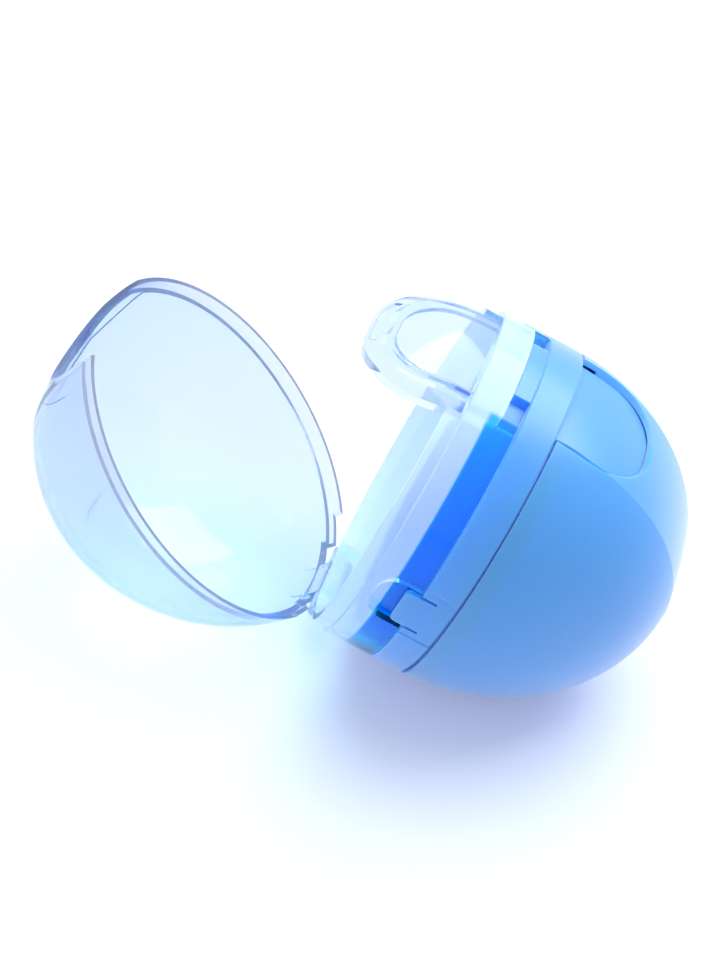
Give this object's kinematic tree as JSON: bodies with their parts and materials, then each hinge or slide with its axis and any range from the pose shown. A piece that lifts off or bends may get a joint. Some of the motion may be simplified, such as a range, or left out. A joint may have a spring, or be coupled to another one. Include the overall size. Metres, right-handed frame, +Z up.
{
  "type": "pacifier box",
  "caption": "Egg-shaped pacifier box: two domed lids hinged on a middle ring with a divider, each held by a springy latch tongue.",
  "frame": {"origin": "on the floor under the middle of the open box's bounding box, as it lies on its two domes", "axes": "+Z up, +X from the open clear lid towards the blue dome, Y along both hinge axes"},
  "size_m": [0.1152, 0.0578, 0.0702],
  "materials": {
    "clear_plastic": "clear, tinted light blue, polished",
    "blue_plastic": "opaque light blue, smooth satin"
  },
  "bodies": {
    "ring": {"clear_frame": "clear_plastic", "blue_frame": "blue_plastic", "clear_hinge_pin": "clear_plastic", "blue_hinge_pin": "blue_plastic"},
    "clear_lid": {"clear_lid": "clear_plastic"},
    "blue_lid": {"blue_lid": "blue_plastic"},
    "clear_latch": {"clear_latch": "clear_plastic"},
    "blue_latch": {"blue_latch": "blue_plastic"}
  },
  "joints": [
    {"name": "clear_lid_hinge", "type": "hinge", "parent": "ring", "child": "clear_lid", "pos_m": [-0.00347, 0, 0.00774], "axis": [0, 1, 0], "range_deg": [0, 60.8]},
    {"name": "blue_lid_hinge", "type": "hinge", "parent": "ring", "child": "blue_lid", "pos_m": [0.01375, 0, 0.00155], "axis": [0, 1, 0], "range_deg": [0, 60.8]},
    {"name": "clear_latch_flex", "type": "hinge", "parent": "ring", "child": "clear_latch", "pos_m": [0.01829, 0, 0.06352], "axis": [0, -1, 0], "range_deg": [0, 3.5], "stiffness_Nm_per_rad": 1.2},
    {"name": "blue_latch_flex", "type": "hinge", "parent": "ring", "child": "blue_latch", "pos_m": [0.0325, 0, 0.05842], "axis": [0, 1, 0], "range_deg": [0, 3.5], "stiffness_Nm_per_rad": 1.2}
  ]
}
